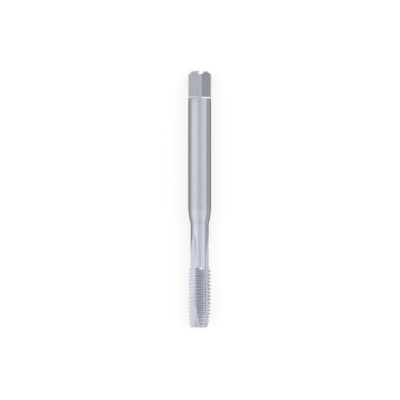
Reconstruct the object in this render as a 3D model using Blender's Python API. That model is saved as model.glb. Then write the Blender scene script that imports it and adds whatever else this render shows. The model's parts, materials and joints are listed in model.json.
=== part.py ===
"""Machine tap for an M8 x 1.25 right-hand thread, with a spiral point, three flutes and a reduced neck.

The tap is one piece of high-speed steel. It is drawn upright, as on a workshop drawing: the tip's
centre at the origin, the axis up local Z, the square at the top. Last, it is laid on its side along Y,
square end towards +Y, the way it comes to rest on a bench. Units are metres, angles are in degrees.
"""

from math import acos, asin, atan2, cos, pi, radians, sin, sqrt, tan

import bmesh
import bpy
from mathutils import Vector

# Thread
THREAD_DIAMETER = 0.0080
THREAD_PITCH = 0.00125
THREAD_ANGLE = 60.0
CREST_FLAT_SHARE = 1 / 8
ROOT_FLAT_SHARE = 1 / 6
THREAD_LENGTH = 0.0210
# Height by which the first whole groove at the top side stands off a whole turn from the tip
THREAD_PHASE = 0.00029
BACK_CHAMFER_ANGLE = 45.0

# Cutting lead at the tip, with each land relieved behind its cutting edge
LEAD_LENGTH = 0.0057
LEAD_ANGLE = 6.0
LEAD_RELIEF = 0.00012

# Neck, shank and square
OVERALL_LENGTH = 0.0900
NECK_CLEARANCE = 0.00001
NECK_LENGTH = 0.0153
TAPER_LENGTH = 0.0050
TAPER_RADIUS = 0.0260
SHANK_DIAMETER = 0.0080
GRINDING_STEP = 0.00003
SQUARE_LENGTH = 0.0090
SQUARE_ACROSS_FLATS = 0.0062
SQUARE_FILLET_RADIUS = 0.0008
SQUARE_TURN = -42.4
COLLAR_LENGTH = 0.0008
COLLAR_STEP = 0.00007
END_CHAMFER = 0.0011

# Flutes: a face with a positive rake, a round web corner and a straight back to the land's heel
FLUTE_COUNT = 3
LAND_ANGLE = 54.0
FIRST_EDGE_TURN = -22.0
FACE_RAKE = 8.0
WEB_DIAMETER = 0.0039
FLUTE_CORNER_RADIUS = 0.0010
FLUTE_WHEEL_RADIUS = 0.0560

# Spiral point: a second, slanted gash that pushes the chips ahead of the tap
POINT_LENGTH = 0.0080
POINT_ANGLE = 10.5
POINT_FLOOR_ANGLE = 4.7
POINT_FACE_TURN = 16.0
POINT_WEB_DIAMETER = 0.0024
POINT_CORNER_RADIUS = 0.0009

# Centre holes that the blank was ground between
CENTRE_ANGLE = 60.0
SHANK_CENTRE_DIAMETER = 0.00335
SHANK_PILOT_DIAMETER = 0.0016
TIP_CENTRE_DIAMETER = 0.0017
TIP_PILOT_DIAMETER = 0.0008
PILOT_DEPTH_SHARE = 1.2
DRILL_POINT_ANGLE = 118.0

# Facets. The count of sides divides by four, so one facet lies flat on the bench.
SIDES = 24
THREAD_SIDES = 48
TAPER_STEPS = 5
CORNER_STEPS = 5
RUN_OUT_STEPS = 10
HOLE_SIDES = 24

# How far a cutter reaches past the steel that it cuts
OVERRUN = 0.0010
# Turns that the thread's groove has below the tip and beyond the back chamfer
SPARE_TURNS = 3
MERGE_DISTANCE = 1e-7
SHARP_ANGLE = 20.0
# Polar angle of the side that ends up on top, seen along the upright tap's axis
UP_ANGLE = -90.0

THREAD_RADIUS = THREAD_DIAMETER / 2
SHANK_RADIUS = SHANK_DIAMETER / 2
COLLAR_RADIUS = SHANK_RADIUS - COLLAR_STEP
FLANK_SLOPE = tan(radians(THREAD_ANGLE / 2))
GROOVE_WIDTH = THREAD_PITCH * (1 - CREST_FLAT_SHARE)
ROOT_FLAT = THREAD_PITCH * ROOT_FLAT_SHARE
THREAD_DEPTH = (GROOVE_WIDTH - ROOT_FLAT) / 2 / FLANK_SLOPE
ROOT_RADIUS = THREAD_RADIUS - THREAD_DEPTH
# The corners of the faceted neck stay inside the faceted root of the thread
NECK_RADIUS = ROOT_RADIUS * cos(pi / THREAD_SIDES) * cos(pi / SIDES) - NECK_CLEARANCE
CREST_CORNER_RADIUS = THREAD_RADIUS / cos(pi / SIDES)
NECK_TOP = THREAD_LENGTH + NECK_LENGTH
SHANK_BOTTOM = NECK_TOP + TAPER_LENGTH
FLATS_BOTTOM = OVERALL_LENGTH - SQUARE_LENGTH - SQUARE_FILLET_RADIUS
SHANK_TOP = FLATS_BOTTOM - COLLAR_LENGTH
WEB_RADIUS = WEB_DIAMETER / 2
FLUTE_ANGLE = 360.0 / FLUTE_COUNT - LAND_ANGLE


def polar(radius, degrees):
    """A point in the plane across the axis."""
    return Vector((radius * cos(radians(degrees)), radius * sin(radians(degrees))))


def arc(centre, radius, start, end, steps):
    """Points along an arc, both ends included. The angles are in radians."""
    angles = [start + (end - start) * step / steps for step in range(steps + 1)]
    return [centre + Vector((radius * cos(a), radius * sin(a))) for a in angles]


def arc_between(start, end, radius, steps):
    """Points of the arc from start to end that bulges to the left of that direction."""
    chord = end - start
    reach = min(chord.length / 2 / radius, 1.0)
    half_turn = asin(reach)
    left = Vector((-chord.y, chord.x)).normalized()
    centre = (start + end) / 2 - left * radius * cos(half_turn)
    middle = atan2(left.y, left.x)
    return arc(centre, radius, middle + half_turn, middle - half_turn, steps)


def mesh_object(name, bm, tap=None):
    """Make an object of a finished bmesh. With a tap given, the object is a cutter that the tap carries."""
    bmesh.ops.recalc_face_normals(bm, faces=bm.faces)
    mesh = bpy.data.meshes.new(name)
    bm.to_mesh(mesh)
    bm.free()
    made = bpy.data.objects.new(name, mesh)
    bpy.context.scene.collection.objects.link(made)
    if tap:
        made.parent = tap
        made.hide_render = True
        made.display_type = "WIRE"
    return made


def outline_face(bm, points, placed):
    """One face on an outline of 2-D points, each placed in space by the given function."""
    return bm.faces.new([bm.verts.new(placed(point)) for point in points])


def revolved(outline, sides):
    """Spin an open outline of (radius, height) points round the axis, and close its two ends flat.

    The facets touch the true circle from outside, so the true diameter is the one across the facets.
    """
    bm = bmesh.new()
    half_facet = tan(pi / sides)
    verts = [bm.verts.new((r, r * half_facet, z)) for r, z in outline]
    edges = [bm.edges.new(pair) for pair in zip(verts, verts[1:])]
    bmesh.ops.spin(bm, geom=verts + edges, axis=(0, 0, 1), cent=(0, 0, 0), angle=2 * pi, steps=sides)
    bmesh.ops.remove_doubles(bm, verts=bm.verts, dist=MERGE_DISTANCE)
    bmesh.ops.holes_fill(bm, edges=[edge for edge in bm.edges if edge.is_boundary])
    return bm


def swept(points, path):
    """Carry a flat outline across the axis along a path of offsets, closed at both ends."""
    bm = bmesh.new()
    first = face = outline_face(bm, points, lambda point: Vector((*point, 0)) + path[0])
    for here, there in zip(path, path[1:]):
        made = bmesh.ops.extrude_face_region(bm, geom=[face])["geom"]
        if face is not first:
            bm.faces.remove(face)
        verts = [item for item in made if isinstance(item, bmesh.types.BMVert)]
        face = next(item for item in made if isinstance(item, bmesh.types.BMFace))
        bmesh.ops.translate(bm, verts=verts, vec=there - here)
    return bm


def blank_outline():
    """The turned and ground blank as (radius, height) points, from the tip up to the square end."""
    back_chamfer = (THREAD_RADIUS - NECK_RADIUS) / tan(radians(BACK_CHAMFER_ANGLE))
    taper_start = Vector((NECK_RADIUS, NECK_TOP))
    taper_end = Vector((SHANK_RADIUS - GRINDING_STEP, SHANK_BOTTOM))
    outline = [
        (THREAD_RADIUS, 0),
        (THREAD_RADIUS, THREAD_LENGTH - back_chamfer),
        (NECK_RADIUS, THREAD_LENGTH),
    ]
    # Drawn downwards, the taper bulges outwards on the left
    taper = arc_between(taper_end, taper_start, TAPER_RADIUS, TAPER_STEPS)
    outline += [tuple(point) for point in reversed(taper)]
    outline += [
        (SHANK_RADIUS, SHANK_BOTTOM + GRINDING_STEP),
        (SHANK_RADIUS, SHANK_TOP - COLLAR_STEP),
        (COLLAR_RADIUS, SHANK_TOP),
        (COLLAR_RADIUS, OVERALL_LENGTH - END_CHAMFER),
        (COLLAR_RADIUS - END_CHAMFER, OVERALL_LENGTH),
    ]
    return outline


def thread_groove(tap):
    """The V-shaped helical groove that leaves the thread standing."""
    mouth_radius = CREST_CORNER_RADIUS + NECK_CLEARANCE
    half_mouth = GROOVE_WIDTH / 2 + (mouth_radius - THREAD_RADIUS) * FLANK_SLOPE
    points = [
        (ROOT_RADIUS, -ROOT_FLAT / 2),
        (mouth_radius, -half_mouth),
        (THREAD_RADIUS + OVERRUN, -half_mouth),
        (THREAD_RADIUS + OVERRUN, half_mouth),
        (mouth_radius, half_mouth),
        (ROOT_RADIUS, ROOT_FLAT / 2),
    ]
    turns = int(THREAD_LENGTH / THREAD_PITCH) + SPARE_TURNS
    bm = bmesh.new()
    face = outline_face(bm, points, lambda point: (point[0], 0, point[1] + THREAD_PHASE - THREAD_PITCH))
    bmesh.ops.spin(
        bm,
        geom=[face],
        axis=(0, 0, 1),
        cent=(0, 0, 0),
        dvec=(0, 0, THREAD_PITCH / THREAD_SIDES),
        angle=2 * pi * turns,
        steps=turns * THREAD_SIDES,
    )
    # The helical faces are twisted, so each is split into two flat ones
    bmesh.ops.triangulate(bm, faces=bm.faces)
    return mesh_object("thread_groove", bm, tap)


def flute_outline(edge_angle):
    """The flute's section, as face, web corner and back, and the direction in which the wheel leaves."""
    edge = polar(THREAD_RADIUS, edge_angle)
    heel = polar(THREAD_RADIUS, edge_angle - FLUTE_ANGLE)
    inward = polar(1, edge_angle + 180 - FACE_RAKE)
    off_face = polar(1, edge_angle - 90 - FACE_RAKE)
    # The corner's centre lies one radius off the face, where the corner just touches the web
    start = edge + off_face * FLUTE_CORNER_RADIUS
    along = start.dot(inward)
    reach = (WEB_RADIUS + FLUTE_CORNER_RADIUS) ** 2 - start.length_squared
    centre = start + inward * (-along - sqrt(max(along**2 + reach, 0)))
    # The straight back leaves the corner on a tangent that runs out at the heel
    to_heel = heel - centre
    heel_angle = atan2(to_heel.y, to_heel.x)
    back_angle = heel_angle - acos(min(FLUTE_CORNER_RADIUS / to_heel.length, 1))
    face_angle = radians(edge_angle + 90 - FACE_RAKE)
    while face_angle > back_angle:
        face_angle -= 2 * pi
    corner = arc(centre, FLUTE_CORNER_RADIUS, back_angle, face_angle, CORNER_STEPS)
    past_heel = heel + (heel - corner[0]).normalized() * OVERRUN
    past_edge = edge - inward * OVERRUN
    outside = polar(THREAD_DIAMETER, edge_angle - FLUTE_ANGLE / 2)
    return [past_heel, *corner, past_edge, outside], centre.normalized()


def flute_cutter(tap, index, edge_angle):
    """A straight flute, full depth to the end of the thread, then rising with the grinding wheel's rim."""
    outline, away = flute_outline(edge_angle)
    highest_lift = SHANK_RADIUS - WEB_RADIUS + OVERRUN
    run_out = sqrt(2 * FLUTE_WHEEL_RADIUS * highest_lift - highest_lift**2)
    path = [Vector((0, 0, -OVERRUN))]
    for step in range(RUN_OUT_STEPS + 1):
        beyond = run_out * step / RUN_OUT_STEPS
        lift = FLUTE_WHEEL_RADIUS - sqrt(FLUTE_WHEEL_RADIUS**2 - beyond**2)
        path.append(Vector((away.x * lift, away.y * lift, THREAD_LENGTH + beyond)))
    return mesh_object(f"flute_{index}", swept(outline, path), tap)


def lead_cutter(tap, index, edge_angle):
    """The cutting lead of one land: a cone set over off the axis, so the land falls away behind its edge."""
    slope = tan(radians(LEAD_ANGLE))
    tip_radius = THREAD_RADIUS - LEAD_LENGTH * slope
    outer = THREAD_RADIUS + 2 * OVERRUN
    top = (outer - OVERRUN - tip_radius) / slope
    points = [
        (tip_radius - OVERRUN * slope, -OVERRUN),
        (outer, -OVERRUN),
        (outer, top),
        (outer - OVERRUN, top),
    ]
    start_angle = edge_angle - FLUTE_ANGLE / 2
    start = polar(1, start_angle)
    set_over = polar(LEAD_RELIEF, edge_angle - 90)
    sector = 360 / FLUTE_COUNT
    bm = bmesh.new()
    face = outline_face(bm, points, lambda point: (*(set_over + start * point[0]), point[1]))
    bmesh.ops.spin(
        bm,
        geom=[face],
        axis=(0, 0, 1),
        cent=(*set_over, 0),
        angle=radians(sector),
        steps=SIDES // FLUTE_COUNT,
    )
    return mesh_object(f"lead_{index}", bm, tap)


def point_cutter(tap, index, edge_angle):
    """The spiral point's gash: it slants into the land and deepens towards the tip."""
    face_up = polar(1, edge_angle + POINT_FACE_TURN)
    into_land = polar(1, edge_angle + POINT_FACE_TURN + 90)
    side_slope = tan(radians(POINT_ANGLE))
    floor_slope = tan(radians(POINT_FLOOR_ANGLE))
    far = 2 * THREAD_DIAMETER
    radius = POINT_CORNER_RADIUS
    face_place = polar(THREAD_RADIUS, edge_angle).dot(into_land) + POINT_LENGTH * side_slope
    corner_turn = radians(edge_angle + POINT_FACE_TURN)
    corner_centre = face_up * (POINT_WEB_DIAMETER / 2 + radius) + into_land * (face_place - radius)
    corner = arc(corner_centre, radius, corner_turn + pi, corner_turn + pi / 2, CORNER_STEPS)
    outline = [
        corner[0] - into_land * far,
        *corner,
        corner[-1] + face_up * far,
        corner[-1] + face_up * far - into_land * far,
    ]
    drift = face_up * floor_slope - into_land * side_slope
    heights = (-OVERRUN, POINT_LENGTH + OVERRUN)
    path = [Vector((drift.x * height, drift.y * height, height)) for height in heights]
    return mesh_object(f"point_{index}", swept(outline, path), tap)


def flat_cutter(tap, index):
    """One flat of the square, with the milling cutter's corner radius at its foot."""
    flat = SQUARE_ACROSS_FLATS / 2
    radius = SQUARE_FILLET_RADIUS
    foot = arc(Vector((flat + radius, FLATS_BOTTOM + radius)), radius, pi, 1.5 * pi, CORNER_STEPS)
    outer = flat + radius + SHANK_RADIUS
    outline = [
        (flat, OVERALL_LENGTH + OVERRUN),
        *[tuple(point) for point in foot],
        (outer, FLATS_BOTTOM),
        (outer, OVERALL_LENGTH + OVERRUN),
    ]
    normal = polar(1, UP_ANGLE + SQUARE_TURN + 90 * index)
    across = Vector((-normal.y, normal.x))
    bm = bmesh.new()
    start = -across * SHANK_RADIUS
    face = outline_face(bm, outline, lambda point: (*(start + normal * point[0]), point[1]))
    made = bmesh.ops.extrude_face_region(bm, geom=[face])["geom"]
    verts = [item for item in made if isinstance(item, bmesh.types.BMVert)]
    bmesh.ops.translate(bm, verts=verts, vec=Vector((*across, 0)) * SHANK_DIAMETER)
    return mesh_object(f"flat_{index}", bm, tap)


def centre_drill(tap, name, end, inward, mouth_diameter, pilot_diameter):
    """A centre hole: a 60 degree countersink and a short pilot with the drill's point."""
    slope = tan(radians(CENTRE_ANGLE / 2))
    countersink = (mouth_diameter - pilot_diameter) / 2 / slope
    pilot_end = countersink + pilot_diameter * PILOT_DEPTH_SHARE
    point_depth = pilot_diameter / 2 / tan(radians(DRILL_POINT_ANGLE / 2))
    depths = [
        (mouth_diameter / 2 + OVERRUN * slope, -OVERRUN),
        (pilot_diameter / 2, countersink),
        (pilot_diameter / 2, pilot_end),
        (0, pilot_end + point_depth),
    ]
    outline = [(radius, end + inward * depth) for radius, depth in depths]
    return mesh_object(name, revolved(outline, HOLE_SIDES), tap)


def ground_steel():
    """Bright ground high-speed steel."""
    steel = bpy.data.materials.new("ground_high_speed_steel")
    steel.use_nodes = True
    shader = steel.node_tree.nodes["Principled BSDF"]
    shader.inputs["Base Color"].default_value = (0.46, 0.465, 0.49, 1)
    shader.inputs["Metallic"].default_value = 1.0
    shader.inputs["Roughness"].default_value = 0.28
    return steel


def clear_scene():
    for old in list(bpy.data.objects):
        bpy.data.objects.remove(old)


def cut(tap, cutter):
    modifier = tap.modifiers.new(cutter.name, "BOOLEAN")
    modifier.operation = "DIFFERENCE"
    modifier.solver = "EXACT"
    modifier.object = cutter


def main():
    clear_scene()
    tap = mesh_object("machine_tap", revolved(blank_outline(), SIDES))
    tap.data.materials.append(ground_steel())
    edges = [UP_ANGLE + FIRST_EDGE_TURN + index * 360 / FLUTE_COUNT for index in range(FLUTE_COUNT)]
    for index, edge_angle in enumerate(edges):
        cut(tap, flute_cutter(tap, index, edge_angle))
        cut(tap, lead_cutter(tap, index, edge_angle))
    cut(tap, thread_groove(tap))
    for index, edge_angle in enumerate(edges):
        cut(tap, point_cutter(tap, index, edge_angle))
    for index in range(4):
        cut(tap, flat_cutter(tap, index))
    shank_centre = (OVERALL_LENGTH, -1, SHANK_CENTRE_DIAMETER, SHANK_PILOT_DIAMETER)
    tip_centre = (0, 1, TIP_CENTRE_DIAMETER, TIP_PILOT_DIAMETER)
    cut(tap, centre_drill(tap, "shank_centre", *shank_centre))
    cut(tap, centre_drill(tap, "tip_centre", *tip_centre))
    # The comb-shaped sides of the lands are split into well-shaped triangles
    triangulate = tap.modifiers.new("even_triangles", "TRIANGULATE")
    triangulate.ngon_method = "BEAUTY"
    tap.data.shade_smooth()
    tap.data.set_sharp_from_angle(angle=radians(SHARP_ANGLE))
    tap.rotation_euler = (radians(-90), 0, 0)
    tap.location = (0, -OVERALL_LENGTH / 2, SHANK_RADIUS)


main()
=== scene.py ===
"""Looks of a machine tap of bright ground high-speed steel: a fine mesh, its finishes and a plain stage.

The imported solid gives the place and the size. The fine tap is made the way the tool is made: the blank is
turned, the flutes, the lead and the thread are ground, then the spiral point, the square and the centres.
"""

import json
from math import acos, asin, atan2, cos, pi, radians, sin, sqrt, tan

import bpy
from bpy.props import FloatProperty, FloatVectorProperty, IntProperty, PointerProperty
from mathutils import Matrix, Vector

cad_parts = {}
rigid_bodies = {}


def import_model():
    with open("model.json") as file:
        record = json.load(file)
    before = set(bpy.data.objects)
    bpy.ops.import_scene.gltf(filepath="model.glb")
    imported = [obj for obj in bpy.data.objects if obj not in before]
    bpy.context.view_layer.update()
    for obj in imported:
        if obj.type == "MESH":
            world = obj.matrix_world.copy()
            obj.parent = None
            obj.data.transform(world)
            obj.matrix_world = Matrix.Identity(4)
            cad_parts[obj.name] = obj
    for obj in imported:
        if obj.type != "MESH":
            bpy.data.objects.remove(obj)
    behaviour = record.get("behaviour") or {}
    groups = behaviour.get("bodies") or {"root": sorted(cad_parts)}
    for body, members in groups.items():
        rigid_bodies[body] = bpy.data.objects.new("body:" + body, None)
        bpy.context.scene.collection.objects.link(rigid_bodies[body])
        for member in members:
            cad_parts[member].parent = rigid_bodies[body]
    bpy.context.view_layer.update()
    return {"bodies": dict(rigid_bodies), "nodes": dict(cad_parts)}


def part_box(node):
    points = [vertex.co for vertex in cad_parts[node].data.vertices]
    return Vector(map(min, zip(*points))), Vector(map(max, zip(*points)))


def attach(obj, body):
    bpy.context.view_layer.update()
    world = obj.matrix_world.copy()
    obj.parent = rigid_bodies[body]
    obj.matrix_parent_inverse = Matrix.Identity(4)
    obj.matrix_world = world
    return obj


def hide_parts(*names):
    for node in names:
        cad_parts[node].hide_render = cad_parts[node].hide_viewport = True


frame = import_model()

bl_info = {
    "name": "Machine tap",
    "version": (1, 0, 0),
    "blender": (4, 5, 0),
    "location": "3D View > Sidebar > Tap",
    "description": "Models a spiral point tap over its packed solid, with ground steel finishes and a stage",
    "category": "Object",
}

NODE = "machine_tap"
BODY = "root"
PIECE = "ground_tap"

LOW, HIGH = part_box(NODE)
LENGTH = HIGH.y - LOW.y
SHANK_RADIUS = (HIGH.x - LOW.x) / 2
AXIS_X = (LOW.x + HIGH.x) / 2
AXIS_HEIGHT = (LOW.z + HIGH.z) / 2
MM = 0.001

# Facets of the fine mesh
ROUND_SIDES = 144
TURN_STEPS = 96
CORNER_STEPS = 10
ROOT_STEPS = 4
WHEEL_STEPS = 24
TAPER_STEPS = 16
HOLE_SIDES = 48
# Faces that meet at more than this angle keep a sharp edge
SMOOTH_ANGLE = radians(24)
# Points of the thread's cutter closer than this, in metres, are one point
MERGE_DISTANCE = 1e-8

# How far a cutter reaches past the steel
OVERRUN = 1.0 * MM
# The tap is made upright, tip down. This is the polar angle of the side that ends up on top.
UP_ANGLE = radians(-90)
FLAT_COUNT = 4

# Half the angle between the flanks of a metric thread
FLANK_ANGLE = radians(30)
# Part of the pitch that the groove's cutter may take, so that it doesn't meet its own next turn
GROOVE_SHARE = 0.98
# Turns that the groove's cutter has beyond the threaded length, to run out at both ends
SPARE_TURNS = 3

# Half the angles of a centre drill's countersink and point
COUNTERSINK_ANGLE = radians(30)
DRILL_POINT_ANGLE = radians(59)
# Depth of a pilot hole, and radius of the small flat at its bottom, in radii of the hole
PILOT_DEPTH = 2.4
DRILL_FLAT = 0.01

# Faces of the gash's cutter that look towards the axis more than this cut its floor
FLOOR_FACING = 0.97
# Faces of the square's cutter that look down along the tap more than this cut the foot of a flat, which gets
# the lighter colour of a painted highlight
FOOT_FACING = 0.05
# Faces at the square end that look along the tap more than this are its flat end
END_FACING = 0.9

# The streaks of the grinding marks: layers of noise, and how rough the finer ones are
STREAK_DETAIL = 3.0
STREAK_BREAKUP = 0.6
# Broad soft patches, where the wheel was freshly dressed or worn, and their part in the pattern
PATCH_SIZE = 6.25 * MM
PATCH_DETAIL = 1.0
PATCH_SHARE = 0.25
# Most of the noise lies between these values
NOISE_LOW = 0.3
NOISE_HIGH = 0.7
# Share by which the marks change the roughness, and the colour on each way of grinding
GLOSS_CHANGE = 0.12
FINE_CHANGE = 0.04
WHEEL_CHANGE = 0.05
FLUTE_CHANGE = 0.12
FLAT_CHANGE = 0.14
# Share of the reflection that is left at a grazing angle. Plain metal has 1. The tap's round parts are dark
# along their edges in the photo, so they have little: this is a painted shade along their edges.
EDGE_TINT = 1.0
ROUND_EDGE_PAINTED_SHADE = 0.1

# The photo's frame, and the tap's length and middle in it, in pixels
PHOTO_SIZE = 400
PHOTO_TAP_LENGTH = 256.0
PHOTO_TAP_X = 199.67
PHOTO_TAP_Y = 199.2
# The camera's lens and sensor, in millimetres, and how far it sees, in metres
CAMERA_LENS = 300.0
CAMERA_SENSOR = 36.0
CAMERA_REACH = 10.0

# The stage, in metres
FLOOR_SIZE = 4.0
FLOOR_GAP = 0.00002
SOFTBOX_DISTANCE = 1.6
SOFTBOX_LENGTH = 2.3
CARD_HEIGHT = 0.17
# Left and right ends of the softboxes, as turns from overhead to the right
LEFT_SOFTBOX = (radians(-88), radians(-22))
OVERHEAD_SOFTBOX = (radians(-22), radians(22))
RIGHT_SOFTBOX = (radians(22), radians(77))
# Place of the cards past the square end, as a turn from overhead to the right, and half their width
MIDDLE_CARD = (radians(22), radians(27))
RIGHT_CARD = (radians(52), radians(12))


def linear(hex_colour):
    """An sRGB hex colour as linear red, green, blue and alpha."""
    channels = [int(hex_colour[i : i + 2], 16) / 255 for i in (1, 3, 5)]
    return (*[c / 12.92 if c <= 0.04045 else ((c + 0.055) / 1.055) ** 2.4 for c in channels], 1.0)


def length(name, description, millimetres):
    """A length, given in millimetres."""
    return FloatProperty(
        name=name,
        description=description,
        default=millimetres * MM,
        unit="LENGTH",
        precision=5,
    )


def angle(name, description, degrees):
    """An angle, given in degrees."""
    return FloatProperty(name=name, description=description, default=radians(degrees), subtype="ANGLE")


def share(name, description, value, top=1.0):
    """A share or a level, from 0 to the top value."""
    return FloatProperty(
        name=name,
        description=description,
        default=value,
        min=0.0,
        max=top,
        subtype="FACTOR",
    )


def colour(name, description, hex_colour):
    """A colour, given as sRGB hex."""
    return FloatVectorProperty(
        name=name,
        description=description,
        default=linear(hex_colour),
        size=4,
        min=0.0,
        max=1.0,
        subtype="COLOR",
    )


class TapSizes(bpy.types.PropertyGroup):
    """Sizes of the tap, matched to the photo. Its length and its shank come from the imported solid."""

    pitch: length("Pitch", "Distance from one thread crest to the next", 1.25)
    crest_flat: length("Crest flat", "Width of the flat left on top of each thread", 0.156)
    root_round: length("Root radius", "Radius of the grinding wheel's edge", 0.105)
    thread_phase: length("Thread phase", "Height of the first groove over the tip", 0.29)
    thread_length: length("Thread length", "Length of the threaded part from the tip", 21.0)
    lead_length: length("Lead length", "Length of the cutting lead at the tip", 5.7)
    lead_angle: angle("Lead angle", "Slope of the cutting lead against the axis", 6.0)
    tip_break: length("Tip edge break", "Bevel that takes the sharp edge off the tip", 0.22)
    lead_relief: length("Lead relief", "How far the lead falls away behind the cutting edge", 0.12)
    neck_length: length("Neck length", "Length of the reduced neck behind the thread", 15.3)
    neck_radius: length("Neck radius", "Radius of the reduced neck", 3.15)
    taper_length: length("Taper length", "Length of the rounded rise from the neck to the shank", 5.0)
    taper_radius: length("Taper radius", "Radius of the rise from the neck to the shank", 26.0)
    shank_step: length("Shank step", "Step where the shank's grinding stops at the taper", 0.035)
    collar_length: length("Collar length", "Length of the ring between the shank and the square", 0.8)
    collar_step: length("Collar step", "Step from the ground shank down to the turned ring", 0.07)
    end_chamfer: length("End chamfer", "Chamfer round the square end", 1.2)
    square_length: length("Square length", "Length of the flats up to the end", 9.0)
    square_width: length("Square", "Distance across the flats of the square", 6.2)
    square_fillet: length("Square fillet", "Radius of the cutter's corner at the foot of the flats", 0.8)
    square_turn: angle("Square turn", "Turn of the first flat away from the upper side", -42.4)
    flute_count: IntProperty(name="Flutes", description="Flutes round the tap", default=3, min=2, max=4)
    land_angle: angle("Land angle", "Part of a turn that each land takes", 54.5)
    edge_turn: angle("Edge turn", "Turn of the first cutting edge away from the upper side", -24.0)
    rake: angle("Rake", "Rake of the cutting face", 8.0)
    web_radius: length("Web radius", "Radius of the core that the flutes leave", 1.8)
    flute_corner: length("Flute corner", "Radius of the corner at the bottom of a flute", 1.0)
    wheel_radius: length("Wheel radius", "Radius of the wheel that grinds the flutes", 50.0)
    point_length: length("Point length", "Length of the spiral point's gash", 8.6)
    point_angle: angle("Point angle", "Slant of the spiral point against the axis", 12.0)
    point_floor: angle("Point floor", "Angle at which the gash deepens towards the tip", 5.5)
    point_turn: angle("Point turn", "Turn of the gash against the cutting edge", 16.0)
    point_web: length("Point web", "Radius of the core that the gash leaves at the tip", 1.06)
    point_corner: length("Point corner", "Radius of the corner at the bottom of the gash", 1.05)
    shank_centre: length("Shank centre", "Diameter of the centre hole's mouth at the square end", 3.35)
    shank_pilot: length("Shank pilot", "Diameter of the pilot hole at the square end", 1.6)
    tip_centre: length("Tip centre", "Diameter of the centre hole's mouth at the tip", 1.7)
    tip_pilot: length("Tip pilot", "Diameter of the pilot hole at the tip", 0.8)


class TapFinish(bpy.types.PropertyGroup):
    """Colours and finish of the ground steel."""

    shank_colour: colour("Shank", "Cylindrically ground shank", "#A0A2A9")
    neck_colour: colour("Neck", "Cylindrically ground neck", "#A8AAB4")
    square_colour: colour("Square", "Milled and ground flats", "#93959C")
    flute_colour: colour("Flute", "Flutes, ground lengthwise", "#A4A6B0")
    thread_colour: colour("Thread", "Ground thread", "#C6C7CF")
    lead_colour: colour("Lead", "Relief ground lead", "#A4A6AE")
    gash_colour: colour("Gash", "Floor of the spiral point's gash, ground duller", "#989AA2")
    # The end chamfer is lighter as a bright cut and as a painted highlight; the foot of the flats only as a
    # painted highlight
    chamfer_and_highlight_colour: colour("Bright edges", "End chamfer and foot of the flats, cut bright", "#BABCC4")
    # A darker grey: painted shade for the depth of the holes
    hole_shade_colour: colour("Centre holes", "Drilled centre holes", "#94969D")
    shank_roughness: share("Shank roughness", "Roughness of the ground shank", 0.32)
    flute_roughness: share("Flute roughness", "Roughness of the ground flutes", 0.36)
    mark_depth: length("Mark depth", "Depth of the grinding marks", 0.0006)


class StageLook(bpy.types.PropertyGroup):
    """The plain stage that the tap lies on."""

    floor_colour: colour("Floor", "Plain white paper", "#F8F8FA")
    plain_share: share("Plain share", "Part of the floor that is seen as plain white, without shadow", 0.65)
    walls_colour: colour("Surroundings", "Plain pale walls round the floor", "#FFFFFF")
    walls_level: share("Surroundings level", "How bright the surroundings are", 0.25, 2.0)
    left_level: share("Left softbox", "How bright the softbox on the left is", 1.56, 5.0)
    right_level: share("Right softbox", "How bright the softbox on the right is", 1.42, 5.0)
    top_level: share("Overhead softbox", "How bright the softbox overhead is", 1.00, 5.0)
    middle_card_level: share("Middle card", "How bright the middle card past the square end is", 5.0, 20.0)
    right_card_level: share("Right card", "How bright the right card past the square end is", 15.0, 20.0)


def polar(radius, turn):
    """A point in the plane across the axis. The angle is in radians."""
    return Vector((radius * cos(turn), radius * sin(turn)))


def arc(centre, radius, start, end, steps):
    """Points along an arc, both ends included."""
    return [centre + polar(radius, start + (end - start) * step / steps) for step in range(steps + 1)]


def arc_between(start, end, radius, steps):
    """Points of the arc from start to end that bulges to the left of that direction."""
    chord = end - start
    half_turn = asin(min(chord.length / 2 / radius, 1.0))
    left = Vector((-chord.y, chord.x)).normalized()
    centre = (start + end) / 2 - left * radius * cos(half_turn)
    middle = atan2(left.y, left.x)
    return arc(centre, radius, middle + half_turn, middle - half_turn, steps)


def start_shape(name, points, placed):
    """A filled circle whose points are set on an outline. It stays in edit mode, selected all over."""
    bpy.ops.object.select_all(action="DESELECT")
    bpy.ops.mesh.primitive_circle_add(
        vertices=len(points),
        radius=OVERRUN,
        fill_type="NGON",
        location=(0, 0, 0),
    )
    shape = bpy.context.object
    shape.name = name
    for vertex, point in zip(shape.data.vertices, points):
        vertex.co = placed(point)
    bpy.ops.object.mode_set(mode="EDIT")
    bpy.ops.mesh.select_all(action="SELECT")
    return shape


def finish_shape(shape, material):
    """Point the faces outwards, leave edit mode and give the finish."""
    bpy.ops.mesh.select_all(action="SELECT")
    bpy.ops.mesh.normals_make_consistent(inside=False)
    bpy.ops.object.mode_set(mode="OBJECT")
    shape.data.materials.append(bpy.data.materials[material])
    return shape


def extrude_by(offset):
    bpy.ops.mesh.extrude_region_move(TRANSFORM_OT_translate={"value": offset})


def revolved(name, outline, sides, material):
    """A turned shape: a circle, extruded and resized through the outline's (radius, height) points."""
    radius, height = outline[0]
    ring = [polar(radius, 2 * pi * (side + 0.5) / sides) for side in range(sides)]
    shape = start_shape(name, ring, lambda point: (*point, height))
    for next_radius, next_height in outline[1:]:
        extrude_by((0, 0, next_height - height))
        factor = next_radius / radius
        bpy.ops.transform.resize(value=(factor, factor, 1), center_override=(0, 0, next_height))
        radius, height = next_radius, next_height
    return finish_shape(shape, material)


def cut(tap, cutter):
    """Take the cutter out of the tap. The cut faces keep the cutter's finish."""
    bpy.ops.object.select_all(action="DESELECT")
    bpy.context.view_layer.objects.active = tap
    tap.select_set(True)
    modifier = tap.modifiers.new(cutter.name, "BOOLEAN")
    modifier.operation = "DIFFERENCE"
    modifier.solver = "EXACT"
    modifier.material_mode = "TRANSFER"
    modifier.object = cutter
    bpy.ops.object.modifier_apply(modifier=modifier.name)
    bpy.data.objects.remove(cutter)


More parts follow.
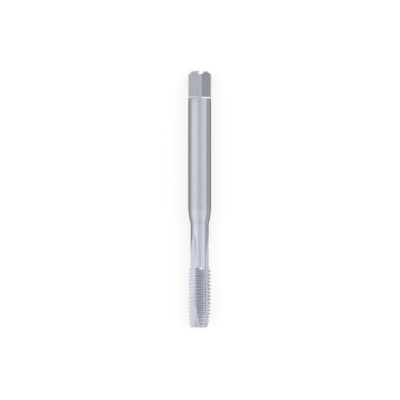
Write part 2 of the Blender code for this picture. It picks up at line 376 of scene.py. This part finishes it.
def edges_of(sizes):
    """Polar angles of the cutting edges, in radians."""
    first = UP_ANGLE + sizes.edge_turn
    return [first + 2 * pi * index / sizes.flute_count for index in range(sizes.flute_count)]


class TAP_OT_turn_blank(bpy.types.Operator):
    """Turn and grind the round blank: thread, neck, taper, shank, collar and chamfered end"""

    bl_idname = "tap.turn_blank"
    bl_label = "Turn the blank"

    def execute(self, context):
        sizes = context.scene.tap_sizes
        neck = sizes.neck_radius
        neck_top = sizes.thread_length + sizes.neck_length
        shank_bottom = neck_top + sizes.taper_length
        flats_bottom = LENGTH - sizes.square_length - sizes.square_fillet
        collar_bottom = flats_bottom - sizes.collar_length
        collar = SHANK_RADIUS - sizes.collar_step
        taper = arc_between(
            Vector((SHANK_RADIUS - sizes.shank_step, shank_bottom)),
            Vector((neck, neck_top)),
            sizes.taper_radius,
            TAPER_STEPS,
        )
        outline = [
            (SHANK_RADIUS, 0),
            (SHANK_RADIUS, sizes.thread_length - (SHANK_RADIUS - neck)),
            (neck, sizes.thread_length),
            *[tuple(point) for point in reversed(taper)],
            (SHANK_RADIUS, shank_bottom + sizes.shank_step),
            (SHANK_RADIUS, collar_bottom - sizes.collar_step),
            (collar, collar_bottom),
            (collar, LENGTH - sizes.end_chamfer),
            (collar - sizes.end_chamfer, LENGTH),
        ]
        revolved(PIECE, outline, ROUND_SIDES, "cylindrically_ground_shank")
        return {"FINISHED"}


class TAP_OT_grind_flutes(bpy.types.Operator):
    """Grind the straight flutes, each running out along the wheel's rim, and the relieved cutting lead"""

    bl_idname = "tap.grind_flutes"
    bl_label = "Grind the flutes and the lead"

    def flute(self, sizes, index, edge_turn):
        """Face, web corner and back of one flute, swept along the tap and out with the wheel."""
        flute_angle = 2 * pi / sizes.flute_count - sizes.land_angle
        corner = sizes.flute_corner
        edge = polar(SHANK_RADIUS, edge_turn)
        heel = polar(SHANK_RADIUS, edge_turn - flute_angle)
        inward = polar(1, edge_turn + pi - sizes.rake)
        off_face = polar(1, edge_turn - pi / 2 - sizes.rake)
        start = edge + off_face * corner
        along = start.dot(inward)
        reach = (sizes.web_radius + corner) ** 2 - start.length_squared
        centre = start + inward * (-along - sqrt(max(along**2 + reach, 0)))
        to_heel = heel - centre
        back_turn = atan2(to_heel.y, to_heel.x) - acos(min(corner / to_heel.length, 1))
        face_turn = edge_turn + pi / 2 - sizes.rake
        while face_turn > back_turn:
            face_turn -= 2 * pi
        bend = arc(centre, corner, back_turn, face_turn, CORNER_STEPS)
        past_heel = heel + (heel - bend[0]).normalized() * OVERRUN
        outline = [
            past_heel,
            *bend,
            edge - inward * OVERRUN,
            polar(2 * SHANK_RADIUS, edge_turn - flute_angle / 2),
        ]
        shape = start_shape(f"flute_{index}", outline, lambda point: (*point, -OVERRUN))
        extrude_by((0, 0, sizes.thread_length + OVERRUN))
        away = centre.normalized()
        highest = SHANK_RADIUS - sizes.web_radius + OVERRUN
        run_out = sqrt(2 * sizes.wheel_radius * highest - highest**2)
        lift = 0
        for step in range(1, WHEEL_STEPS + 1):
            beyond = run_out * step / WHEEL_STEPS
            next_lift = sizes.wheel_radius - sqrt(sizes.wheel_radius**2 - beyond**2)
            rise = next_lift - lift
            extrude_by((away.x * rise, away.y * rise, run_out / WHEEL_STEPS))
            lift = next_lift
        return finish_shape(shape, "lengthwise_ground_flute")

    def lead(self, sizes, index, edge_turn):
        """One land's share of the lead: a cone set over off the axis, spun over the land."""
        slope = tan(sizes.lead_angle)
        tip_radius = SHANK_RADIUS - sizes.lead_length * slope
        outer = SHANK_RADIUS + 2 * OVERRUN
        edge_break = sizes.tip_break
        points = [
            (tip_radius + edge_break * slope, edge_break),
            (tip_radius + edge_break * slope - edge_break - OVERRUN, -OVERRUN),
            (outer + OVERRUN, -OVERRUN),
            (outer + OVERRUN, (outer - tip_radius) / slope),
            (outer, (outer - tip_radius) / slope),
        ]
        start = polar(1, edge_turn - (2 * pi / sizes.flute_count - sizes.land_angle) / 2)
        centre = polar(sizes.lead_relief, edge_turn - pi / 2)
        shape = start_shape(f"lead_{index}", points, lambda point: (*(centre + start * point[0]), point[1]))
        bpy.ops.mesh.spin(
            steps=ROUND_SIDES // sizes.flute_count,
            angle=-2 * pi / sizes.flute_count,
            center=(*centre, 0),
            axis=(0, 0, 1),
        )
        return finish_shape(shape, "relief_ground_lead")

    def execute(self, context):
        sizes = context.scene.tap_sizes
        tap = bpy.data.objects[PIECE]
        for index, edge_turn in enumerate(edges_of(sizes)):
            cut(tap, self.flute(sizes, index, edge_turn))
            cut(tap, self.lead(sizes, index, edge_turn))
        return {"FINISHED"}


class TAP_OT_grind_thread(bpy.types.Operator):
    """Grind the thread with a wheel that has a 60 degree edge and a rounded tip"""

    bl_idname = "tap.grind_thread"
    bl_label = "Grind the thread"

    def execute(self, context):
        sizes = context.scene.tap_sizes
        flank_slope = tan(FLANK_ANGLE)
        mouth = (sizes.pitch - sizes.crest_flat) / 2
        radius = sizes.root_round
        # The flanks meet the round on a tangent
        sharp_root = SHANK_RADIUS - mouth / flank_slope
        centre = Vector((sharp_root + radius / sin(FLANK_ANGLE), 0))
        root = arc(centre, radius, 3 * pi / 2 - FLANK_ANGLE, pi / 2 + FLANK_ANGLE, ROOT_STEPS)
        # Past the steel the cutter's sides go straight up, just clear of its next turn
        side = sizes.pitch / 2 * GROOVE_SHARE
        side_bottom = SHANK_RADIUS + (side - mouth) / flank_slope
        top = SHANK_RADIUS + OVERRUN
        points = [
            *[tuple(point) for point in root],
            (side_bottom, side),
            (top, side),
            (top, -side),
            (side_bottom, -side),
        ]
        start = sizes.thread_phase - sizes.pitch
        shape = start_shape("thread_groove", points, lambda point: (point[0], 0, point[1] + start))
        # The bare outline is swept along the helix, and its two open ends are filled afterwards
        bpy.ops.mesh.delete(type="ONLY_FACE")
        bpy.ops.object.mode_set(mode="OBJECT")
        screw = shape.modifiers.new("screw", "SCREW")
        screw.axis = "Z"
        screw.screw_offset = sizes.pitch
        screw.iterations = int(sizes.thread_length / sizes.pitch) + SPARE_TURNS
        screw.steps = TURN_STEPS
        screw.render_steps = TURN_STEPS
        screw.merge_threshold = MERGE_DISTANCE
        bpy.ops.object.modifier_apply(modifier=screw.name)
        bpy.ops.object.mode_set(mode="EDIT")
        bpy.ops.mesh.select_mode(type="EDGE")
        bpy.ops.mesh.select_all(action="DESELECT")
        bpy.ops.mesh.select_non_manifold(
            use_wire=False,
            use_boundary=True,
            use_multi_face=False,
            use_non_contiguous=False,
            use_verts=False,
        )
        bpy.ops.mesh.edge_face_add()
        bpy.ops.mesh.select_all(action="SELECT")
        bpy.ops.mesh.quads_convert_to_tris()
        finish_shape(shape, "ground_thread")
        cut(bpy.data.objects[PIECE], shape)
        return {"FINISHED"}


class TAP_OT_grind_point(bpy.types.Operator):
    """Grind the spiral point: a slanted gash in each flute that drives the chips ahead of the tap"""

    bl_idname = "tap.grind_point"
    bl_label = "Grind the spiral point"

    def execute(self, context):
        sizes = context.scene.tap_sizes
        tap = bpy.data.objects[PIECE]
        side_slope = tan(sizes.point_angle)
        floor_slope = tan(sizes.point_floor)
        far = 4 * SHANK_RADIUS
        radius = sizes.point_corner
        for index, edge_turn in enumerate(edges_of(sizes)):
            turn = edge_turn + sizes.point_turn
            face_up = polar(1, turn)
            into_land = polar(1, turn + pi / 2)
            face_place = polar(SHANK_RADIUS, edge_turn).dot(into_land) + sizes.point_length * side_slope
            centre = face_up * (sizes.point_web + radius) + into_land * (face_place - radius)
            corner = arc(centre, radius, turn + pi, turn + pi / 2, CORNER_STEPS)
            outline = [
                corner[0] - into_land * far,
                *corner,
                corner[-1] + face_up * far,
                corner[-1] + face_up * far - into_land * far,
            ]
            drift = face_up * floor_slope - into_land * side_slope
            low = -OVERRUN
            rise = sizes.point_length + 2 * OVERRUN
            shape = start_shape(f"point_{index}", outline, lambda point: (*(point + drift * low), low))
            extrude_by((drift.x * rise, drift.y * rise, rise))
            finish_shape(shape, "lengthwise_ground_flute")
            shape.data.materials.append(bpy.data.materials["plunge_ground_gash"])
            for face in shape.data.polygons:
                if face.normal.xy.dot(face_up) < -FLOOR_FACING:
                    face.material_index = 1
            cut(tap, shape)
        return {"FINISHED"}


class TAP_OT_mill_square(bpy.types.Operator):
    """Mill the four flats of the square, with the cutter's corner radius at their foot"""

    bl_idname = "tap.mill_square"
    bl_label = "Mill the square"

    def execute(self, context):
        sizes = context.scene.tap_sizes
        tap = bpy.data.objects[PIECE]
        flat = sizes.square_width / 2
        radius = sizes.square_fillet
        bottom = LENGTH - sizes.square_length - radius
        foot = arc(Vector((flat + radius, bottom + radius)), radius, pi, 1.5 * pi, CORNER_STEPS)
        outer = flat + radius + SHANK_RADIUS
        top = LENGTH + OVERRUN
        outline = [(flat, top), *[tuple(point) for point in foot], (outer, bottom), (outer, top)]
        for index in range(FLAT_COUNT):
            turn = UP_ANGLE + sizes.square_turn + 2 * pi * index / FLAT_COUNT
            normal = polar(1, turn)
            across = polar(1, turn + pi / 2)
            start = -across * SHANK_RADIUS
            shape = start_shape(
                f"flat_{index}",
                outline,
                lambda point: (*(start + normal * point[0]), point[1]),
            )
            extrude_by((2 * across.x * SHANK_RADIUS, 2 * across.y * SHANK_RADIUS, 0))
            finish_shape(shape, "surface_ground_flat")
            # The foot of each flat takes the lighter colour: a painted highlight
            shape.data.materials.append(bpy.data.materials["bright_cut_edge"])
            for face in shape.data.polygons:
                if face.normal.z < -FOOT_FACING:
                    face.material_index = 1
            cut(tap, shape)
        return {"FINISHED"}


class TAP_OT_drill_centres(bpy.types.Operator):
    """Drill the two centre holes that the blank was ground between"""

    bl_idname = "tap.drill_centres"
    bl_label = "Drill the centre holes"

    def execute(self, context):
        sizes = context.scene.tap_sizes
        tap = bpy.data.objects[PIECE]
        holes = {
            "shank_centre": (LENGTH, -1, sizes.shank_centre / 2, sizes.shank_pilot / 2),
            "tip_centre": (0, 1, sizes.tip_centre / 2, sizes.tip_pilot / 2),
        }
        slope = tan(COUNTERSINK_ANGLE)
        for name, (end, inward, mouth, pilot) in holes.items():
            countersink = (mouth - pilot) / slope
            pilot_end = countersink + PILOT_DEPTH * pilot
            depths = [
                (mouth + OVERRUN * slope, -OVERRUN),
                (pilot, countersink),
                (pilot, pilot_end),
                (pilot * DRILL_FLAT, pilot_end + pilot / tan(DRILL_POINT_ANGLE)),
            ]
            outline = [(radius, end + inward * depth) for radius, depth in depths]
            cut(tap, revolved(name, outline, HOLE_SIDES, "drilled_centre"))
        return {"FINISHED"}


def add_node(tree, kind, settings=None, links=None):
    """Add a shader node. Settings are its own values or its inputs' defaults, links go to its inputs."""
    node = tree.nodes.new(kind)
    for name, value in (settings or {}).items():
        if isinstance(name, int) or name in node.inputs:
            node.inputs[name].default_value = value
        else:
            setattr(node, name, value)
    for name, socket in (links or {}).items():
        tree.links.new(socket, node.inputs[name])
    return node


def ground_steel(name, colour_value, roughness, marks, depth, change, edge=EDGE_TINT):
    """High-speed steel with grinding marks: fine streaks, each far longer than it is wide.

    The marks are (across X, along Y, across Z) sizes in metres. They give a fine bump, and they change the
    colour and the roughness a little, as a ground face catches the light in streaks.
    """
    material = bpy.data.materials.new(name)
    material.use_nodes = True
    material.diffuse_color = colour_value
    tree = material.node_tree
    tree.nodes.clear()
    place = add_node(tree, "ShaderNodeTexCoord").outputs["Object"]
    streaks_at = add_node(
        tree,
        "ShaderNodeMapping",
        {"Scale": tuple(1 / size for size in marks)},
        {"Vector": place},
    )
    streaks = add_node(
        tree,
        "ShaderNodeTexNoise",
        {"Scale": 1.0, "Detail": STREAK_DETAIL, "Roughness": STREAK_BREAKUP},
        {"Vector": streaks_at.outputs[0]},
    )
    patches = add_node(
        tree,
        "ShaderNodeTexNoise",
        {"Scale": 1 / PATCH_SIZE, "Detail": PATCH_DETAIL},
        {"Vector": place},
    )
    both = add_node(
        tree,
        "ShaderNodeMix",
        {"Factor": PATCH_SHARE},
        {"A": streaks.outputs[0], "B": patches.outputs[0]},
    )
    tint = add_node(tree, "ShaderNodeValToRGB", {}, {"Fac": both.outputs[0]})
    dark, light = tint.color_ramp.elements
    dark.position = NOISE_LOW
    dark.color = (*[channel * (1 - change) for channel in colour_value[:3]], 1)
    light.position = NOISE_HIGH
    light.color = (*[min(channel * (1 + change), 1) for channel in colour_value[:3]], 1)
    gloss = add_node(
        tree,
        "ShaderNodeMapRange",
        {
            "From Min": NOISE_LOW,
            "From Max": NOISE_HIGH,
            "To Min": roughness * (1 + GLOSS_CHANGE),
            "To Max": roughness * (1 - GLOSS_CHANGE),
        },
        {"Value": both.outputs[0]},
    )
    bump = add_node(
        tree,
        "ShaderNodeBump",
        {"Strength": 1.0, "Distance": depth},
        {"Height": streaks.outputs[0]},
    )
    shader = add_node(
        tree,
        "ShaderNodeBsdfPrincipled",
        {"Metallic": 1.0, "Specular Tint": (edge, edge, edge, 1.0)},
        {"Base Color": tint.outputs[0], "Roughness": gloss.outputs[0], "Normal": bump.outputs[0]},
    )
    add_node(tree, "ShaderNodeOutputMaterial", {}, {"Surface": shader.outputs[0]})


class TAP_OT_mix_finishes(bpy.types.Operator):
    """Make the finishes of the ground steel, one for each way in which the tap's surfaces are made"""

    bl_idname = "tap.mix_finishes"
    bl_label = "Mix the finishes"

    def execute(self, context):
        finish = context.scene.tap_finish
        depth = finish.mark_depth
        # Wheel marks run round the tap. True marks are 0.01 mm apart, they are drawn 0.25 mm apart to show.
        round_marks = (6 * MM, 0.25 * MM, 6 * MM)
        # In the flutes and on the flats they run along the tap, and are drawn 0.30 mm apart to show
        long_marks = (0.30 * MM, 14 * MM, 0.30 * MM)
        smooth = finish.shank_roughness
        dull = finish.flute_roughness
        # The round parts keep little reflection at a grazing angle: a painted shade along their edges
        edge = ROUND_EDGE_PAINTED_SHADE

        # Ground between centres: an even grey with a soft sheen, with a painted shade along both edges
        name = "cylindrically_ground_shank"
        ground_steel(name, finish.shank_colour, smooth, round_marks, depth, FINE_CHANGE, edge)
        # The neck is ground the same way, and shows a little lighter
        name = "cylindrically_ground_neck"
        ground_steel(name, finish.neck_colour, smooth, round_marks, depth, FINE_CHANGE, edge)
        # The wheel went along the flutes: long streaks, paler and darker
        name = "lengthwise_ground_flute"
        ground_steel(name, finish.flute_colour, dull, long_marks, depth, FLUTE_CHANGE)
        # Flats ground along the tap: a darker grey with the strongest streaks
        name = "surface_ground_flat"
        ground_steel(name, finish.square_colour, dull, long_marks, depth, FLAT_CHANGE)
        # Flanks and crests of the thread, ground with a fine wheel: the brightest steel on the tap
        name = "ground_thread"
        ground_steel(name, finish.thread_colour, dull, round_marks, depth, WHEEL_CHANGE, edge)
        # The lead is ground once more over the thread: its crests are greyer
        name = "relief_ground_lead"
        ground_steel(name, finish.lead_colour, dull, round_marks, depth, WHEEL_CHANGE, edge)
        # The wheel plunged into the gash: its floor is a duller grey than the flutes
        name = "plunge_ground_gash"
        ground_steel(name, finish.gash_colour, dull, round_marks, depth, WHEEL_CHANGE)
        # The end chamfer is left bright as the tool cut it, and lighter still as a painted highlight; the
        # foot of the flats is lighter as a painted highlight
        name = "bright_cut_edge"
        ground_steel(name, finish.chamfer_and_highlight_colour, smooth, round_marks, depth, FINE_CHANGE)
        # Drilled, and seen deep inside the holes: a darker grey
        # Drilled: a darker grey, a painted shade for the depth of the holes
        name = "drilled_centre"
        ground_steel(name, finish.hole_shade_colour, dull, round_marks, depth, WHEEL_CHANGE)
        return {"FINISHED"}


class TAP_OT_lay_down(bpy.types.Operator):
    """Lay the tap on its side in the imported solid's place, smooth it and let it stand for that solid"""

    bl_idname = "tap.lay_down"
    bl_label = "Lay the tap down"

    def execute(self, context):
        sizes = context.scene.tap_sizes
        tap = bpy.data.objects[PIECE]
        neck_finish = len(tap.data.materials)
        tap.data.materials.append(bpy.data.materials["cylindrically_ground_neck"])
        chamfer_and_highlight_finish = tap.data.materials.find("bright_cut_edge")
        shank_finish = tap.data.materials.find("cylindrically_ground_shank")
        neck_end = sizes.thread_length + sizes.neck_length + sizes.taper_length
        for face in tap.data.polygons:
            if face.material_index != shank_finish:
                continue
            if face.center.z < neck_end:
                face.material_index = neck_finish
            # The end chamfer takes the lighter colour: a bright cut and a painted highlight
            elif face.center.z > LENGTH - sizes.end_chamfer and face.normal.z < END_FACING:
                face.material_index = chamfer_and_highlight_finish
        bpy.ops.object.select_all(action="DESELECT")
        context.view_layer.objects.active = tap
        tap.select_set(True)
        bpy.ops.object.mode_set(mode="EDIT")
        bpy.ops.mesh.select_all(action="SELECT")
        bpy.ops.mesh.quads_convert_to_tris(quad_method="BEAUTY", ngon_method="BEAUTY")
        bpy.ops.object.mode_set(mode="OBJECT")
        tap.rotation_euler = (radians(-90), 0, 0)
        tap.location = (AXIS_X, LOW.y, AXIS_HEIGHT)
        bpy.ops.object.transform_apply(location=True, rotation=True, scale=True)
        bpy.ops.object.shade_smooth_by_angle(angle=SMOOTH_ANGLE)
        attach(tap, BODY)
        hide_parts(NODE)
        return {"FINISHED"}


def softbox(name, left, right, box_length, level):
    """A rectangular softbox that takes the part of the sky from the left to the right angle, over the tap.

    The angles are turns from overhead to the right. The level is its brightness: 1 is white paper in full
    light.
    """
    turn = (left + right) / 2
    width = 2 * SOFTBOX_DISTANCE * tan((right - left) / 2)
    light = bpy.data.lights.new(name, "AREA")
    light.shape = "RECTANGLE"
    light.size = width
    light.size_y = box_length
    light.energy = level * pi * width * box_length
    lamp = bpy.data.objects.new(name, light)
    lamp.location = (SOFTBOX_DISTANCE * sin(turn), 0, SOFTBOX_DISTANCE * cos(turn))
    lamp.rotation_euler = (0, turn, 0)
    bpy.context.scene.collection.objects.link(lamp)
    return lamp


def card(name, turn, half_width, level):
    """A small bright card, low past the square end, that faces the tap."""
    lamp = softbox(name, -half_width, half_width, 2 * CARD_HEIGHT, level)
    place = Vector((SOFTBOX_DISTANCE * sin(turn), SOFTBOX_DISTANCE * cos(turn), CARD_HEIGHT))
    lamp.location = place
    lamp.rotation_euler = (-place).to_track_quat("-Z", "Y").to_euler()


class TAP_OT_set_stage(bpy.types.Operator):
    """Set the plain pale floor, the soft lights and the camera that looks straight down on the tap"""

    bl_idname = "tap.set_stage"
    bl_label = "Set the stage"

    def paper(self, look):
        """White paper. It is seen as plain white in part, so that the shadow on it stays faint."""
        paper = bpy.data.materials.new("matt_white_paper")
        paper.use_nodes = True
        tree = paper.node_tree
        tree.nodes.clear()
        ray = add_node(tree, "ShaderNodeLightPath")
        straight = add_node(
            tree,
            "ShaderNodeMath",
            {"operation": "MAXIMUM"},
            {0: ray.outputs["Is Camera Ray"], 1: ray.outputs["Is Glossy Ray"]},
        )
        seen = add_node(
            tree,
            "ShaderNodeMath",
            {"operation": "MAXIMUM"},
            {0: straight.outputs[0], 1: ray.outputs["Is Transmission Ray"]},
        )
        plain = add_node(
            tree,
            "ShaderNodeMath",
            {"operation": "MULTIPLY", 1: look.plain_share},
            {0: seen.outputs[0]},
        )
        lit = add_node(
            tree,
            "ShaderNodeBsdfPrincipled",
            {"Base Color": look.floor_colour, "Roughness": 1.0, "Specular IOR Level": 0.0},
        )
        white = add_node(tree, "ShaderNodeEmission", {"Color": (1, 1, 1, 1), "Strength": 1.0})
        mixed = add_node(
            tree,
            "ShaderNodeMixShader",
            {},
            {0: plain.outputs[0], 1: lit.outputs[0], 2: white.outputs[0]},
        )
        add_node(tree, "ShaderNodeOutputMaterial", {}, {"Surface": mixed.outputs[0]})
        return paper

    def floor(self, look):
        bpy.ops.object.select_all(action="DESELECT")
        bpy.ops.mesh.primitive_plane_add(size=FLOOR_SIZE, location=(0, 0, LOW.z - FLOOR_GAP))
        floor = bpy.context.object
        floor.name = "floor"
        floor.data.materials.append(self.paper(look))

    def lights(self, look):
        world = bpy.data.worlds.new("pale_walls")
        bpy.context.scene.world = world
        world.use_nodes = True
        walls = world.node_tree.nodes["Background"]
        walls.inputs["Color"].default_value = look.walls_colour
        walls.inputs["Strength"].default_value = look.walls_level
        for name, (left, right), level in (
            ("left_softbox", LEFT_SOFTBOX, look.left_level),
            ("overhead_softbox", OVERHEAD_SOFTBOX, look.top_level),
            ("right_softbox", RIGHT_SOFTBOX, look.right_level),
        ):
            softbox(name, left, right, SOFTBOX_LENGTH, level)
        # The cards light the slopes that face the square end, most on the right
        for name, (turn, half_width), level in (
            ("middle_card", MIDDLE_CARD, look.middle_card_level),
            ("right_card", RIGHT_CARD, look.right_card_level),
        ):
            card(name, turn, half_width, level)

    def camera(self):
        camera = bpy.data.cameras.new("camera")
        camera.lens = CAMERA_LENS
        camera.sensor_width = CAMERA_SENSOR
        camera.sensor_height = CAMERA_SENSOR
        camera.clip_end = CAMERA_REACH
        seen = bpy.data.objects.new("camera", camera)
        bpy.context.scene.collection.objects.link(seen)
        # Size of a photo's pixel at the height of the tap's axis
        pixel = LENGTH / PHOTO_TAP_LENGTH
        height = pixel * PHOTO_SIZE * CAMERA_LENS / CAMERA_SENSOR
        middle = PHOTO_SIZE / 2
        centre = (LOW + HIGH) / 2
        seen.location = (
            centre.x + (middle - PHOTO_TAP_X) * pixel,
            centre.y + (PHOTO_TAP_Y - middle) * pixel,
            AXIS_HEIGHT + height,
        )
        bpy.context.scene.camera = seen

    def execute(self, context):
        look = context.scene.tap_stage
        self.floor(look)
        self.lights(look)
        self.camera()
        context.scene.view_settings.view_transform = "Standard"
        return {"FINISHED"}


class TAP_PT_steps(bpy.types.Panel):
    """The steps of making the tap, in order"""

    bl_label = "Machine tap"
    bl_idname = "TAP_PT_steps"
    bl_space_type = "VIEW_3D"
    bl_region_type = "UI"
    bl_category = "Tap"

    def draw(self, context):
        layout = self.layout
        for operator in STEPS:
            layout.operator(operator.bl_idname)
        for group in (context.scene.tap_sizes, context.scene.tap_finish, context.scene.tap_stage):
            box = layout.box()
            for name in group.__annotations__:
                box.prop(group, name)


STEPS = (
    TAP_OT_mix_finishes,
    TAP_OT_turn_blank,
    TAP_OT_grind_flutes,
    TAP_OT_grind_thread,
    TAP_OT_grind_point,
    TAP_OT_mill_square,
    TAP_OT_drill_centres,
    TAP_OT_lay_down,
    TAP_OT_set_stage,
)
CLASSES = (TapSizes, TapFinish, StageLook, *STEPS, TAP_PT_steps)


def register():
    for cls in CLASSES:
        bpy.utils.register_class(cls)
    bpy.types.Scene.tap_sizes = PointerProperty(type=TapSizes)
    bpy.types.Scene.tap_finish = PointerProperty(type=TapFinish)
    bpy.types.Scene.tap_stage = PointerProperty(type=StageLook)


def unregister():
    del bpy.types.Scene.tap_stage
    del bpy.types.Scene.tap_finish
    del bpy.types.Scene.tap_sizes
    for cls in reversed(CLASSES):
        bpy.utils.unregister_class(cls)


def main():
    register()
    # Of what stands in the file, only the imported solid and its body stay
    kept = [*frame["nodes"].values(), *frame["bodies"].values()]
    for other in [item for item in bpy.data.objects if item not in kept]:
        bpy.data.objects.remove(other)
    bpy.ops.tap.mix_finishes()
    bpy.ops.tap.turn_blank()
    bpy.ops.tap.grind_flutes()
    bpy.ops.tap.grind_thread()
    bpy.ops.tap.grind_point()
    bpy.ops.tap.mill_square()
    bpy.ops.tap.drill_centres()
    bpy.ops.tap.lay_down()
    bpy.ops.tap.set_stage()


if __name__ == "__main__":
    main()
